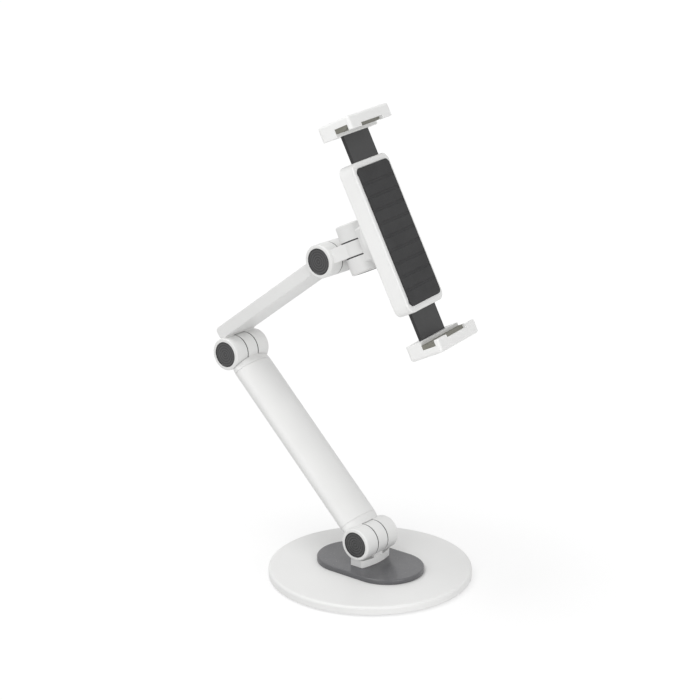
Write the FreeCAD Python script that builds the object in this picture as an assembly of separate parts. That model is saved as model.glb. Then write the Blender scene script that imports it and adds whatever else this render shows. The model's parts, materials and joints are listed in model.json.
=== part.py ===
import FreeCAD, Part
import math
import os

# Desktop stand: a round steel base with a turntable, two arms on friction hinges, and a
# two-jaw holder that tilts, swings and turns. Millimetres, +Z up, front towards -Y.
# The origin is the centre of the base's underside. The arm hinges turn about X.

# Fits and clearances
running = 0.05           # radial, shaft in its bush
face_gap = 0.05          # between flat faces that slide on each other
seat_gap = 0.05          # around a piece that is glued or pressed into a seat
cradle_gap = 0.45        # round a knuckle, between it and the piece it turns in
slide_gap = 0.2          # round the holder's slides

# Base and turntable
base_radius = 84.0
base_thickness = 7.0
base_top_round = 2.2
base_bottom_round = 0.6
pad_margin = 5.0         # from the pad's rim to the base's
pad_thickness = 2.2
pad_recess = 1.0         # how deep the pad sits in the base
bolt_recess_radius = 14.0
glide_radius = 24.0
glide_hole_radius = 13.0
glide_thickness = 0.65
plate_half_length = 48.0
plate_half_width = 30.85
plate_thickness = 4.1
plate_gap = 0.1          # between the base and the turntable
plate_round = 1.1
pivot_radius = 4.0
pivot_bush_wall = 2.0
pivot_thread = 8.5       # how far the pivot bolt reaches into the foot
pivot_head_radius = 8.0
pivot_head_height = 1.8
pivot_washer_radius = 11.0
pivot_washer_thickness = 0.6
socket_radius = 2.9      # corner radius of the hexagon socket in the pivot bolt
socket_depth = 1.0

# Foot
foot_half_width = 18.2
foot_end_half_depth = 6.0
foot_mid_half_depth = 8.9
foot_height = 6.2
foot_rise = 19.6         # hinge axis above the turntable's top
foot_corner_round = 1.2
foot_web_half_depth = 8.5
foot_screw_spacing = 25.0
foot_screw_radius = 2.0
foot_screw_head_radius = 3.6
foot_screw_head_height = 2.2
foot_screw_thread = 4.4

# Hinge barrel, the same at every hinge
barrel_radius = 13.75
barrel_half_length = 20.3
barrel_round = 1.5
seam_centre = 6.3
seam_width = 1.1
washer_inset = 0.3       # from the barrel's surface in to the friction washers
bolt_radius = 4.0
bush_radius = 5.5
bolt_seat_depth = 7.8    # from a knuckle's end face to the seat under nut or head
hex_flats = 12.8
head_height = 4.2
nut_height = 3.8
spring_radius = 8.0
spring_thickness = 0.7
spring_height = 1.0
counterbore_gap = 0.6    # round the disc springs
cap_radius = 10.75
cap_thickness = 1.55
cap_skirt_wall = 0.6
cap_skirt_length = 1.6
cap_chamfer = 0.3

# Lower arm
lower_length = 194.2
lower_elevation = 44.0
tube_half_width = 20.1
tube_half_thickness = 10.9
tube_wall = 2.0
tube_start = 18.0        # from each hinge axis to the end of the tube
spigot_length = 16.0
nose_reach = 5.0         # where the end castings' taper ends, from the hinge axis
nose_half_width = 20.0
nose_half_thickness = 5.8

# Upper arm
upper_reach = 140.15     # along the bar, from the elbow axis to the tilt axis
upper_offset = 18.0      # the bar's middle above the elbow axis
upper_elevation = 36.3
bar_half_width = 18.0
bar_thickness = 10.5
bar_edge_round = 1.0
bar_start = 1.0
bar_end_round = 3.4
web_reach = 9.0          # how far the elbow's web runs along the bar
web_angle = 60.0         # where the web leaves the barrel, from the bar's direction

# Head
tilt_angle = 25.7
swing_angle = 7.7
turn_angle = -4.2
neck_gap = 1.5           # between the tilt barrel and the swing barrel
yoke_half_width = 17.0
yoke_taper_inset = 0.8   # the yoke plate's narrow end, in from the swing barrel's surface
hub_neck_length = 5.5    # what shows of the neck, between the swing barrel and the ring
hub_half_width = 11.5
hub_block_radius = 17.0
hub_block_gap = 0.85     # between the hub's block and the retaining ring
flange_radius = 18.0
flange_thickness = 2.5
hub_neck_radius = 11.8
turn_washer_thickness = 0.9
turn_washer_hole = 6.0
ring_lip = 1.5
ring_screw_inset = 3.6    # from the flange's rim out to the ring's screws
ring_rim = 3.4            # from the ring's screws out to its rim
ring_screw_radius = 1.25
ring_screw_head_radius = 2.4
ring_screw_thread = 2.3

# Holder, measured back from the front of the bay that its jaws close on
bay_depth = 7.5
bay_half_height = 87.05
pad_front_gap = 0.2
front_pad_thickness = 1.5
front_pad_side_margin = 4.0
front_pad_end_margin = 5.0
front_pad_corner = 4.0
cover_thickness = 2.0
slide_thickness = 2.8
slide_half_width = 19.0
slide_end_bar = 3.5      # between the slot and the slide's inner end
slot_side_gap = 0.75     # between the pinion's teeth and the slot's plain side
slot_end_gap = 9.0       # from the pinion's middle to the slot's end at either stop
housing_back = 2.5
housing_side = 9.0       # beyond the slides, each side
housing_corner = 7.0
housing_edge_round = 1.6
housing_end_wall = 2.2
pocket_inner_wall = 2.2  # between the slides' channel and a side pocket
pocket_outer_wall = 2.2
pocket_end_margin = 15.0
cover_screw_side = 3.4   # from the slides' edge out to the cover's screws
cover_screw_end = 9.0    # from the housing's end to the cover's screws
cover_screw_radius = 1.25
cover_screw_head_radius = 2.3
cover_screw_head_height = 1.2
cover_screw_length = 8.0

# Rack and pinion
gear_module = 1.0
pinion_teeth = 12
pressure_angle = 20.0
rack_addendum = 0.65
pinion_addendum = 0.95
dedendum = 1.25
backlash = 0.12
rack_end_gap = 1.5       # between the slot's ends and the rack's
post_radius = 2.0
post_seat = 1.3
brake_flange_radius = 7.6
brake_flange_thickness = 1.2
brake_spring_thickness = 0.5
brake_recess_depth = 3.4
brake_recess_wall_gap = 0.6

# Jaws
jaw_open_travel = 24.0
jaw_close_travel = 22.0
jaw_stop_gap = 0.5       # between a closed jaw and the housing
jaw_half_width = 31.2
jaw_back_wall = 6.4      # behind the slides
jaw_mouth_gap = 3.0      # between the bay's front and the hooks
jaw_wall = 3.6           # the hook's thickness
jaw_roof_thickness = 6.4
jaw_foot_reach = 2.55    # how far the jaw's back block reaches in past the bay's end
jaw_back_gap = 1.8       # between the bay's back and the jaw's channel
jaw_pad_thickness = 3.8
hook_reach = 0.85        # how far the hooks reach in past the bay's end
hook_width = 14.8
slot_lip_rise = 1.95     # the roof's lip between the hooks, out from the bay's end
jaw_round = 2.4
jaw_edge_round = 0.8
jaw_seat_depth = 8.0
jaw_screw_spacing = 24.0
jaw_screw_radius = 1.5
jaw_screw_head_radius = 2.8
jaw_screw_head_height = 1.6
jaw_pad_lip = 1.3
jaw_pad_flat = 7.0
jaw_pad_end_gap = 0.6

# Levels and radii that follow from the values above
pad_radius = base_radius - pad_margin
base_bottom = pad_thickness - pad_recess
base_top = base_bottom + base_thickness
plate_bottom = base_top + plate_gap
plate_top = plate_bottom + plate_thickness
hinge_height = plate_top + foot_rise
pivot_stack = pivot_washer_thickness + spring_height + pivot_head_height
bolt_recess_top = pad_thickness + pivot_stack + 2 * face_gap
clear_radius = barrel_radius + cradle_gap
middle_half = seam_centre - seam_width / 2
outer_inner = seam_centre + seam_width / 2
cap_seat = barrel_half_length - cap_thickness - face_gap
bolt_seat = barrel_half_length - bolt_seat_depth
washer_radius = barrel_radius - washer_inset
counterbore_radius = spring_radius + counterbore_gap
neck_length = 2 * barrel_radius + neck_gap
pad_face = bay_depth + pad_front_gap
cover_front = pad_face + front_pad_thickness
cover_back = cover_front + cover_thickness
slide_a_front = cover_back + slide_gap
slide_b_front = slide_a_front + slide_thickness + slide_gap
slides_back = slide_b_front + slide_thickness + slide_gap
brake_flange_front = slides_back + slide_gap
brake_flange_back = brake_flange_front + brake_flange_thickness
spring_floor = slides_back + brake_recess_depth
housing_rear = spring_floor + housing_back
flange_front = housing_rear + turn_washer_thickness + 2 * face_gap
flange_back = flange_front + flange_thickness
ring_back = flange_back + face_gap + ring_lip
ring_screw_circle = flange_radius + ring_screw_inset
ring_radius = ring_screw_circle + ring_rim
hub_length = ring_back + hub_neck_length + barrel_radius    # swing axis to the bay's front
hub_block_end = hub_length - ring_back - hub_block_gap
pitch_radius = gear_module * pinion_teeth / 2
slot_half_width = pitch_radius + pinion_addendum * gear_module + slot_side_gap
slot_ends = (-jaw_open_travel - slot_end_gap, jaw_close_travel + slot_end_gap)
slide_inner_end = slot_ends[0] - slide_end_bar
rack_reach = (slot_ends[0] + rack_end_gap, slot_ends[1] - rack_end_gap)
jaw_back = slides_back + jaw_back_wall
jaw_front = -jaw_mouth_gap - jaw_wall
jaw_foot = bay_half_height - jaw_foot_reach
jaw_channel_roof = bay_half_height + seat_gap + jaw_pad_thickness
jaw_channel_back = bay_depth + jaw_back_gap
jaw_top = jaw_channel_roof + jaw_roof_thickness
hook_tip = bay_half_height - hook_reach
slot_lip = bay_half_height + slot_lip_rise
housing_half_width = slide_half_width + housing_side
housing_half_height = jaw_foot - jaw_close_travel - jaw_stop_gap
front_pad_half_width = housing_half_width - front_pad_side_margin
front_pad_half_height = housing_half_height - front_pad_end_margin
pocket_inner = slide_half_width + slide_gap + pocket_inner_wall
pocket_outer = housing_half_width - pocket_outer_wall
pocket_half_height = housing_half_height - pocket_end_margin
cover_screw_x = slide_half_width + cover_screw_side
cover_screw_z = housing_half_height - cover_screw_end

AXIS_X = FreeCAD.Vector(1, 0, 0)
AXIS_Y = FreeCAD.Vector(0, 1, 0)
AXIS_Z = FreeCAD.Vector(0, 0, 1)


def point(x, y, z):
    return FreeCAD.Vector(x, y, z)


def rod(radius, start, end, axis, centre=(0, 0)):
    """A cylinder along an axis between two places on it; centre is across the axis."""
    if axis is AXIS_X:
        base = point(start, centre[0], centre[1])
    elif axis is AXIS_Y:
        base = point(centre[0], start, centre[1])
    else:
        base = point(centre[0], centre[1], start)
    return Part.makeCylinder(radius, end - start, base, axis)


def ring(outer, inner, start, end, axis, centre=(0, 0)):
    return rod(outer, start, end, axis, centre).cut(rod(inner, start, end, axis, centre))


def block(x_range, y_range, z_range):
    low = point(x_range[0], y_range[0], z_range[0])
    return Part.makeBox(x_range[1] - x_range[0], y_range[1] - y_range[0], z_range[1] - z_range[0], low)


def both(half):
    return (-half, half)


def hexagon(flats, start, end):
    """A hexagonal prism along X."""
    corner = flats / math.sqrt(3)
    corners = [point(start, corner * math.cos(math.radians(60 * k)), corner * math.sin(math.radians(60 * k)))
               for k in range(6)]
    face = Part.Face(Part.makePolygon(corners + corners[:1]))
    return face.extrude(point(end - start, 0, 0))


def cone_washer(outer, inner, thickness, height, start, axis):
    """A disc spring: a shallow cone of constant thickness, standing on its wide edge."""
    rise = height - thickness
    profile = [(outer, 0), (outer, thickness), (inner, height), (inner, rise)]
    wire = Part.makePolygon([point(r, 0, h) for r, h in profile + profile[:1]])
    washer = Part.Face(wire).revolve(point(0, 0, 0), AXIS_Z, 360)
    if axis is AXIS_X:
        washer.rotate(point(0, 0, 0), AXIS_Y, 90)
    if axis is AXIS_Y:
        washer.rotate(point(0, 0, 0), AXIS_X, -90)
    washer.translate(axis * start)
    return washer


def edges_where(shape, test):
    return [edge for edge in shape.Edges if test(edge)]


def along(edge, axis):
    """True for a straight edge that runs along the axis."""
    if edge.Curve.TypeId != "Part::GeomLine":
        return False
    return abs(abs(edge.tangentAt(edge.FirstParameter).dot(axis)) - 1) < 1e-6


def rounded_box(x_range, y_range, z_range, radius, axis):
    solid = block(x_range, y_range, z_range)
    return solid.makeFillet(radius, edges_where(solid, lambda edge: along(edge, axis)))


def in_plane(edge, axis, place):
    """True where the whole edge lies at one place along the axis."""
    box = edge.BoundBox
    low, high = {0: (box.XMin, box.XMax), 1: (box.YMin, box.YMax), 2: (box.ZMin, box.ZMax)}[axis]
    return abs(low - place) < 1e-4 and abs(high - place) < 1e-4


# Hinge barrel along X, about the origin

def middle_knuckle():
    return rod(barrel_radius, -middle_half, middle_half, AXIS_X)


def outer_knuckle():
    """The knuckle on the +X side, its outer rim rounded."""
    knuckle = rod(barrel_radius, outer_inner, barrel_half_length, AXIS_X)
    rim = edges_where(knuckle, lambda edge: in_plane(edge, 0, barrel_half_length))
    return knuckle.makeFillet(barrel_round, rim)


def outer_knuckles():
    right = outer_knuckle()
    left = right.mirror(point(0, 0, 0), AXIS_X)
    return right.fuse(left)


def knuckle_slot():
    """What is cut from a fork so that the middle knuckle turns in it."""
    return rod(clear_radius, -outer_inner, outer_inner, AXIS_X)


def knuckle_cradles():
    """What is cut beside the middle knuckle so that the outer ones turn."""
    cut = rod(clear_radius, middle_half, barrel_half_length + 2, AXIS_X)
    return cut.fuse(cut.mirror(point(0, 0, 0), AXIS_X))


def bolt_cuts():
    """The bolt's bore, the head's hexagon seat, the counterbores and the caps' pockets."""
    cut = rod(bolt_radius + running, -barrel_half_length, barrel_half_length, AXIS_X)
    cut = cut.fuse(hexagon(hex_flats + 2 * seat_gap, bolt_seat, bolt_seat + head_height + running))
    cut = cut.fuse(rod(counterbore_radius, bolt_seat + head_height, barrel_half_length, AXIS_X))
    cut = cut.fuse(rod(counterbore_radius, -barrel_half_length, -bolt_seat, AXIS_X))
    pocket = rod(cap_radius + seat_gap, cap_seat, barrel_half_length, AXIS_X)
    return cut.fuse([pocket, pocket.mirror(point(0, 0, 0), AXIS_X)])


def bush_bore():
    return rod(bush_radius, -middle_half, middle_half, AXIS_X)


def hinge_bush():
    return ring(bush_radius, bolt_radius + running, -middle_half, middle_half, AXIS_X)


def hinge_bolt():
    shank_end = bolt_seat + 2 * spring_height + nut_height
    shank = rod(bolt_radius, -shank_end, bolt_seat, AXIS_X)
    return shank.fuse(hexagon(hex_flats, bolt_seat, bolt_seat + head_height))


def hinge_nut():
    seat = -bolt_seat - 2 * spring_height
    return hexagon(hex_flats, seat - nut_height, seat).cut(rod(bolt_radius, seat - nut_height, seat, AXIS_X))


def hinge_springs():
    """Two disc springs under the nut, back to back."""
    inner = bolt_radius + 2 * running
    first = cone_washer(spring_radius, inner, spring_thickness, spring_height, 0, AXIS_X)
    second = first.mirror(point(0, 0, 0), AXIS_X)
    middle = -bolt_seat - spring_height
    first.translate(point(middle, 0, 0))
    second.translate(point(middle, 0, 0))
    return Part.makeCompound([first, second])


def hinge_washers():
    """The dark friction washers that show in the two seams."""
    inner = bolt_radius + running
    right = ring(washer_radius, inner, middle_half + face_gap, outer_inner - face_gap, AXIS_X)
    return Part.makeCompound([right, right.mirror(point(0, 0, 0), AXIS_X)])


def hinge_caps():
    """The caps at both ends, each a disc with a skirt that centres it in the counterbore."""
    outer_face = barrel_half_length - face_gap
    disc = rod(cap_radius, cap_seat + face_gap, outer_face, AXIS_X)
    disc = disc.makeChamfer(cap_chamfer, edges_where(disc, lambda edge: in_plane(edge, 0, outer_face)))
    skirt_radius = counterbore_radius - seat_gap
    skirt = ring(skirt_radius, skirt_radius - cap_skirt_wall, cap_seat - cap_skirt_length,
                 cap_seat + face_gap, AXIS_X)
    cap = disc.fuse(skirt)
    return Part.makeCompound([cap, cap.mirror(point(0, 0, 0), AXIS_X)])


def hinge_hardware(name):
    """Everything that turns with the outer knuckles of one hinge."""
    return {
        name + "_bolt": hinge_bolt(),
        name + "_nut": hinge_nut(),
        name + "_disc_springs": hinge_springs(),
        name + "_friction_washers": hinge_washers(),
        name + "_end_caps": hinge_caps(),
    }


# Base and turntable

def base_disc():
    disc = rod(base_radius, base_bottom, base_top, AXIS_Z)
    disc = disc.makeFillet(base_top_round, edges_where(disc, lambda edge: in_plane(edge, 2, base_top)))
    disc = disc.makeFillet(base_bottom_round, edges_where(disc, lambda edge: in_plane(edge, 2, base_bottom)))
    pad_seat = rod(pad_radius + seat_gap, base_bottom, pad_thickness, AXIS_Z)
    glide_seat = ring(glide_radius + seat_gap, glide_hole_radius - seat_gap,
                      plate_bottom - face_gap - glide_thickness, base_top, AXIS_Z)
    bolt_recess = rod(bolt_recess_radius, pad_thickness, bolt_recess_top, AXIS_Z)
    bush_seat = rod(pivot_radius + running + pivot_bush_wall, bolt_recess_top, base_top, AXIS_Z)
    return disc.cut([pad_seat, glide_seat, bolt_recess, bush_seat])


def base_pad():
    return rod(pad_radius, 0, pad_thickness, AXIS_Z)


def glide_ring():
    top = plate_bottom - face_gap
    return ring(glide_radius, glide_hole_radius, top - glide_thickness, top, AXIS_Z)


def pivot_bush():
    inner = pivot_radius + running
    return ring(inner + pivot_bush_wall, inner, bolt_recess_top, base_top, AXIS_Z)


def pivot_washer():
    top = bolt_recess_top - face_gap
    return ring(pivot_washer_radius, pivot_radius + running, top - pivot_washer_thickness, top, AXIS_Z)


def pivot_head_top():
    return bolt_recess_top - face_gap - pivot_washer_thickness - spring_height


def pivot_spring():
    inner = pivot_radius + 2 * running
    return cone_washer(spring_radius, inner, spring_thickness, spring_height, pivot_head_top(), AXIS_Z)


def pivot_bolt():
    top = pivot_head_top()
    shank = rod(pivot_radius, top, plate_top + pivot_thread, AXIS_Z)
    head = rod(pivot_head_radius, top - pivot_head_height, top, AXIS_Z)
    turns = [math.radians(60 * k) for k in range(6)]
    corners = [point(socket_radius * math.cos(turn), socket_radius * math.sin(turn), top - pivot_head_height)
               for turn in turns]
    socket = Part.Face(Part.makePolygon(corners + corners[:1])).extrude(point(0, 0, socket_depth))
    return shank.fuse(head).cut(socket)


def stadium(half_length, half_width, bottom, top):
    """A slab with two straight sides and round ends, long along Y."""
    run = half_length - half_width
    middle = block(both(half_width), both(run), (bottom, top))
    ends = [rod(half_width, bottom, top, AXIS_Z, (0, side * run)) for side in (-1, 1)]
    return middle.fuse(ends).removeSplitter()


def foot_screw_places():
    return [side * foot_screw_spacing / 2 for side in (-1, 1)]


def turntable_plate():
    plate = stadium(plate_half_length, plate_half_width, plate_bottom, plate_top)
    plate = plate.makeFillet(plate_round, edges_where(plate, lambda edge: in_plane(edge, 2, plate_top)))
    cuts = [rod(pivot_radius + running, plate_bottom, plate_top, AXIS_Z)]
    for x in foot_screw_places():
        cuts.append(rod(foot_screw_radius + running, plate_bottom, plate_top, AXIS_Z, (x, 0)))
        cuts.append(rod(foot_screw_head_radius + seat_gap, plate_bottom,
                        plate_bottom + face_gap + foot_screw_head_height, AXIS_Z, (x, 0)))
    return plate.cut(cuts)


def foot_screws():
    screws = []
    head_bottom = plate_bottom + face_gap
    for x in foot_screw_places():
        head = rod(foot_screw_head_radius, head_bottom, head_bottom + foot_screw_head_height, AXIS_Z, (x, 0))
        shank = rod(foot_screw_radius, head_bottom, plate_top + foot_screw_thread, AXIS_Z, (x, 0))
        screws.append(head.fuse(shank))
    return Part.makeCompound(screws)


def foot_outline(z):
    """Straight ends and bowed long sides."""
    w, d, m = foot_half_width, foot_end_half_depth, foot_mid_half_depth
    front = Part.Arc(point(-w, -d, z), point(0, -m, z), point(w, -d, z)).toShape()
    right = Part.LineSegment(point(w, -d, z), point(w, d, z)).toShape()
    rear = Part.Arc(point(w, d, z), point(0, m, z), point(-w, d, z)).toShape()
    left = Part.LineSegment(point(-w, d, z), point(-w, -d, z)).toShape()
    return Part.Face(Part.Wire([front, right, rear, left]))


def foot_bracket():
    pad = foot_outline(plate_top).extrude(point(0, 0, foot_height))
    pad = pad.makeFillet(foot_corner_round, edges_where(pad, lambda edge: along(edge, AXIS_Z)))
    web_top = hinge_height - (barrel_radius + bush_radius) / 2
    web = block(both(middle_half), both(foot_web_half_depth), (plate_top, web_top))
    axis_place = point(0, 0, hinge_height)
    cradles = knuckle_cradles()
    cradles.translate(axis_place)
    knuckle = middle_knuckle()
    knuckle.translate(axis_place)
    bore = bush_bore()
    bore.translate(axis_place)
    foot = pad.fuse(web).cut(cradles).fuse(knuckle).cut(bore)
    cuts = [rod(pivot_radius, plate_top, plate_top + pivot_thread, AXIS_Z)]
    for x in foot_screw_places():
        cuts.append(rod(foot_screw_radius, plate_top, plate_top + foot_screw_thread, AXIS_Z, (x, 0)))
    return foot.cut(cuts)


# Lower arm, along +Z from the base hinge axis

def ellipse_wire(half_width, half_thickness, z):
    curve = Part.Ellipse(point(0, 0, z), half_width, half_thickness)
    return Part.Wire(curve.toShape())


def ellipse_prism(half_width, half_thickness, start, end):
    return Part.Face(ellipse_wire(half_width, half_thickness, start)).extrude(point(0, 0, end - start))


def spigot(start, end):
    inset = tube_wall + seat_gap
    return ellipse_prism(tube_half_width - inset, tube_half_thickness - inset, start, end)


def lower_arm_tube():
    outer = ellipse_prism(tube_half_width, tube_half_thickness, tube_start, lower_length - tube_start)
    inner = ellipse_prism(tube_half_width - tube_wall, tube_half_thickness - tube_wall,
                          tube_start, lower_length - tube_start)
    return outer.cut(inner)


def arm_nose():
    """The taper between a hinge and the tube, for a hinge axis at the origin."""
    return Part.makeLoft([ellipse_wire(nose_half_width, nose_half_thickness, nose_reach),
                          ellipse_wire(tube_half_width, tube_half_thickness, tube_start)], True, True)


def lower_fork():
    """The casting at the arm's foot: two knuckles and a nose that grows into the tube's section."""
    fork = outer_knuckles().fuse([arm_nose(), spigot(tube_start, tube_start + spigot_length)])
    return fork.cut([knuckle_slot(), bolt_cuts()])


def elbow_lug():
    """The casting at the arm's top: the same nose, hollowed for the elbow's outer knuckles."""
    seam = lower_length - tube_start
    elbow = point(0, 0, lower_length)
    head = arm_nose()
    head.rotate(point(0, 0, 0), AXIS_X, 180)
    head.translate(elbow)
    cradles = knuckle_cradles()
    cradles.translate(elbow)
    knuckle = middle_knuckle()
    knuckle.translate(elbow)
    bore = bush_bore()
    bore.translate(elbow)
    return head.cut(cradles).fuse([knuckle, spigot(seam - spigot_length, seam)]).cut(bore)


# Upper arm, along +Z from the elbow axis, its bar offset to +Y

def upper_bar():
    far = upper_reach - barrel_radius / 2
    half = bar_thickness / 2
    bar = block(both(bar_half_width), (upper_offset - half, upper_offset + half), (bar_start, far))
    end_edges = edges_where(bar, lambda edge: in_plane(edge, 2, bar_start) and along(edge, AXIS_X))
    bar = bar.makeFillet(bar_end_round, end_edges)
    sides = [edge for edge in bar.Edges
             if (in_plane(edge, 0, -bar_half_width) or in_plane(edge, 0, bar_half_width))
             and not in_plane(edge, 2, far)]
    return bar.makeFillet(bar_edge_round, sides)


def elbow_web():
    """Fills the corner between the elbow's barrel and the bar above it."""
    low = upper_offset - bar_thickness / 2
    root = bar_start + bar_end_round
    lean = math.radians(web_angle)
    outline = [(root, barrel_radius / 2), (clear_radius * math.cos(lean), clear_radius * math.sin(lean)),
               (web_reach, low), (web_reach, low + bar_edge_round), (root, upper_offset)]
    wire = Part.makePolygon([point(-bar_half_width, n, z) for z, n in outline + outline[:1]])
    return Part.Face(wire).extrude(point(2 * bar_half_width, 0, 0))


def upper_arm():
    head = point(0, upper_offset, upper_reach)
    cradles = knuckle_cradles()
    cradles.translate(head)
    knuckle = middle_knuckle()
    knuckle.translate(head)
    bore = bush_bore()
    bore.translate(head)
    bar = upper_bar().cut(cradles).fuse(knuckle).cut(bore)
    arm = bar.fuse([elbow_web(), outer_knuckles()])
    return arm.cut([knuckle_slot(), bolt_cuts()])


# Head: the tilt axis is X through the origin, the holder lies towards -Y

def upright(shape, y):
    """Turns a hinge piece from X to Z and sets it at a distance along Y."""
    turned = shape.copy()
    turned.rotate(point(0, 0, 0), AXIS_Y, -90)
    turned.translate(point(0, y, 0))
    return turned


def head_yoke():
    """Two tilt knuckles, and a plate that carries the swing knuckle."""
    inner = barrel_radius / 2
    narrow = barrel_radius - yoke_taper_inset
    outline = [(-yoke_half_width, -inner), (-yoke_half_width, -barrel_radius),
               (-narrow, -neck_length), (narrow, -neck_length),
               (yoke_half_width, -barrel_radius), (yoke_half_width, -inner)]
    wire = Part.makePolygon([point(x, y, -middle_half) for x, y in outline + outline[:1]])
    plate = Part.Face(wire).extrude(point(0, 0, 2 * middle_half))
    swing_knuckle = upright(middle_knuckle(), -neck_length)
    yoke = outer_knuckles().fuse([plate, swing_knuckle])
    return yoke.cut([knuckle_slot(), bolt_cuts(), upright(bush_bore(), -neck_length)])


# Rotation hub: the swing axis is Z through the origin, the holder lies towards -Y

def rotation_hub():
    """Two swing knuckles, a neck, and the flange that the holder turns on."""
    front = -(hub_length - flange_front)
    back = -(hub_length - flange_back)
    core = rod(hub_block_radius, -hub_block_end, 0, AXIS_Y)
    core = core.common(block(both(hub_half_width), (-hub_block_end, 0), both(barrel_half_length)))
    neck = rod(hub_neck_radius, back, -barrel_radius / 2, AXIS_Y)
    neck = neck.common(block(both(hub_half_width), (back, 0), both(hub_block_radius)))
    flange = rod(flange_radius, front, back, AXIS_Y)
    hub = upright(outer_knuckles(), 0).fuse([core, neck, flange])
    return hub.cut([upright(knuckle_slot(), 0), upright(bolt_cuts(), 0)])


# Holder: Y is measured back from the front of the bay, Z is up the jaws

def ring_screw_places():
    turn = [math.radians(45 + 90 * k) for k in range(4)]
    return [(ring_screw_circle * math.cos(a), ring_screw_circle * math.sin(a)) for a in turn]


def turn_washer():
    front = housing_rear + face_gap
    return ring(flange_radius, turn_washer_hole, front, front + turn_washer_thickness, AXIS_Y)


def countersunk(shank_radius, head_radius, head_height, y_head, y_end, place):
    """A countersunk screw along Y whose flat head lies at y_head."""
    step = math.copysign(1, y_end - y_head)
    base = point(place[0], y_head, place[1])
    axis = AXIS_Y * step
    head = Part.makeCone(head_radius, shank_radius, head_height, base, axis)
    shank = Part.makeCylinder(shank_radius, abs(y_end - y_head), base, axis)
    return head.fuse(shank)


def retaining_ring():
    body = ring(ring_radius, flange_radius + 2 * running, housing_rear, flange_back + face_gap, AXIS_Y)
    lip = ring(ring_radius, hub_neck_radius + slide_gap, flange_back + face_gap, ring_back, AXIS_Y)
    whole = body.fuse(lip)
    rim = edges_where(whole, lambda edge: in_plane(edge, 1, ring_back)
                      and edge.BoundBox.XMax > flange_radius)
    whole = whole.makeFillet(ring_lip / 2, rim)
    screws = [ring_screw(place) for place in ring_screw_places()]
    return whole.cut(screws)


def ring_screw(place):
    return countersunk(ring_screw_radius, ring_screw_head_radius, ring_screw_head_radius - ring_screw_radius,
                       ring_back, housing_rear - ring_screw_thread, place)


def ring_screws():
    return Part.makeCompound([ring_screw(place) for place in ring_screw_places()])


def cover_screw_places():
    return [(x, z) for x in both(cover_screw_x) for z in both(cover_screw_z)]


def cover_screw(place):
    return countersunk(cover_screw_radius, cover_screw_head_radius, cover_screw_head_height,
                       cover_front, cover_front + cover_screw_length, place)


def cover_screws():
    return Part.makeCompound([cover_screw(place) for place in cover_screw_places()])


def housing_cover():
    cover = rounded_box(both(housing_half_width), (cover_front, cover_back), both(housing_half_height),
                        housing_corner, AXIS_Y)
    rim = edges_where(cover, lambda edge: in_plane(edge, 1, cover_front))
    cover = cover.makeFillet(cover_thickness / 2, rim)
    post_hole = rod(post_radius, cover_back - post_seat, cover_back, AXIS_Y)
    return cover.cut([post_hole] + [cover_screw(place) for place in cover_screw_places()])


def housing_back_shell():
    shell = rounded_box(both(housing_half_width), (cover_back, housing_rear), both(housing_half_height),
                        housing_corner, AXIS_Y)
    rim = edges_where(shell, lambda edge: in_plane(edge, 1, housing_rear))
    shell = shell.makeFillet(housing_edge_round, rim)
    inside = housing_half_height - housing_end_wall
    channel = slide_half_width + slide_gap
    slide_room = block(both(channel), (cover_back, slides_back), both(inside))
    top_window = block(both(channel), (cover_back, slide_b_front - slide_gap / 2), (0, housing_half_height))
    bottom_window = block(both(channel), (slide_b_front - slide_gap, slides_back), (-housing_half_height, 0))
    brake_recess = rod(brake_flange_radius + brake_recess_wall_gap, slides_back, spring_floor, AXIS_Y)
    post_hole = rod(post_radius, spring_floor, spring_floor + post_seat, AXIS_Y)
    cuts = [slide_room, top_window, bottom_window, brake_recess, post_hole]
    for side in (-1, 1):
        ends = sorted((side * pocket_inner, side * pocket_outer))
        cuts.append(block(ends, (cover_back, spring_floor), both(pocket_half_height)))
    cuts += [cover_screw(place) for place in cover_screw_places()]
    cuts += [ring_screw(place) for place in ring_screw_places()]
    return shell.cut(cuts)


def front_pad():
    return rounded_box(both(front_pad_half_width), (pad_face, cover_front), both(front_pad_half_height),
                       front_pad_corner, AXIS_Y)


def tooth_half_width(depth):
    """Half the thickness of a straight tooth at a depth from the pitch line, towards its root."""
    quarter_pitch = math.pi * gear_module / 4
    return quarter_pitch - backlash / 2 + depth * math.tan(math.radians(pressure_angle))


def involute_half_angle(radius):
    """Half the angle of a pinion tooth at a radius."""
    base = pitch_radius * math.cos(math.radians(pressure_angle))
    inv = math.tan(math.radians(pressure_angle)) - math.radians(pressure_angle)
    half = (math.pi * gear_module / 4 - backlash / 2) / pitch_radius + inv
    if radius <= base:
        return half
    local = math.acos(base / radius)
    return half - (math.tan(local) - local)


def pinion_outline(y):
    """The pinion's outline, tooth by tooth, with a tooth on +X."""
    root = pitch_radius - dedendum * gear_module
    tip = pitch_radius + pinion_addendum * gear_module
    flank = [root + (tip - root) * k / 5 for k in range(6)]
    points = []
    for tooth in range(pinion_teeth):
        middle = 2 * math.pi * tooth / pinion_teeth
        rising = [(r, middle - involute_half_angle(r)) for r in flank]
        falling = [(r, middle + involute_half_angle(r)) for r in reversed(flank)]
        points += [point(r * math.cos(a), y, r * math.sin(a)) for r, a in rising + falling]
    return Part.Face(Part.makePolygon(points + points[:1]))


def pinion():
    """The gear that both racks mesh with, and the flange that its brake springs press on."""
    front = slide_a_front
    gear = pinion_outline(front).extrude(point(0, brake_flange_front - front, 0))
    flange = rod(brake_flange_radius, brake_flange_front, brake_flange_back, AXIS_Y)
    bore = rod(post_radius + running, front, brake_flange_back, AXIS_Y)
    return gear.fuse(flange).cut(bore)


def pinion_post():
    return rod(post_radius, cover_back - post_seat, spring_floor + post_seat, AXIS_Y)


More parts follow.
